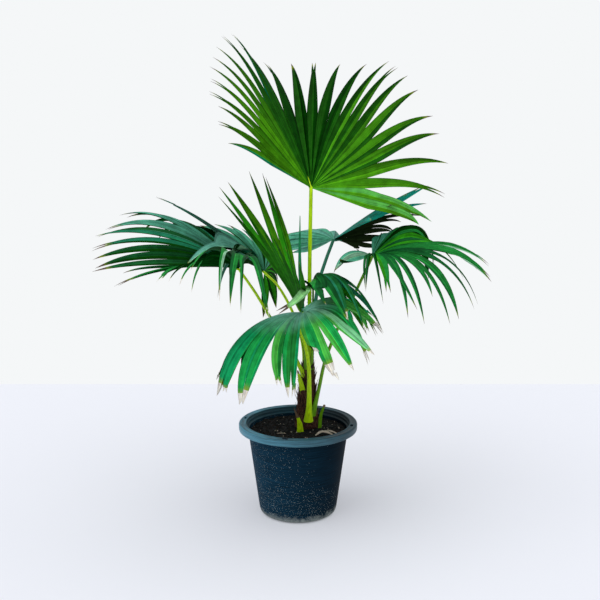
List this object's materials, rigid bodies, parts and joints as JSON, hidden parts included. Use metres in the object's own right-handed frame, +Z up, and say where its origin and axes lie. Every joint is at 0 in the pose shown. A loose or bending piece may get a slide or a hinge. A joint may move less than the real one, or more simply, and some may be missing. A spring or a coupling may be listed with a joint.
{
  "type": "chinese fan palm in a nursery pot",
  "caption": "Young fan palm with round pleated fronds on long slim stalks, rising from one fibrous trunk in a round tapered plastic pot with a wide rim.",
  "frame": {"origin": "centre of the pot's flat underside, where it stands on the ground", "axes": "+Z up, -Y towards the plant's front, +X to the right seen from the front"},
  "size_m": [0.9321, 0.8016, 1.1944],
  "materials": {
    "pot": "satin",
    "soil": "matte",
    "trunk": "matte",
    "petiole": "satin",
    "leaf": "satin"
  },
  "bodies": {
    "root": {"pot": "pot", "soil": "soil", "trunk": "trunk", "petiole_top": "petiole", "petiole_small": "petiole", "petiole_young": "petiole", "petiole_front": "petiole", "petiole_right": "petiole", "petiole_left": "petiole", "petiole_back_left": "petiole", "petiole_back": "petiole", "spear_leaf": "leaf", "leaf_base_left": "petiole", "leaf_base_front": "petiole", "leaf_base_right": "petiole", "blade_top": "leaf", "blade_small": "leaf", "blade_young": "leaf", "blade_front": "leaf", "blade_right": "leaf", "blade_left": "leaf", "blade_back_left": "leaf", "blade_back": "leaf"}
  },
  "joints": []
}
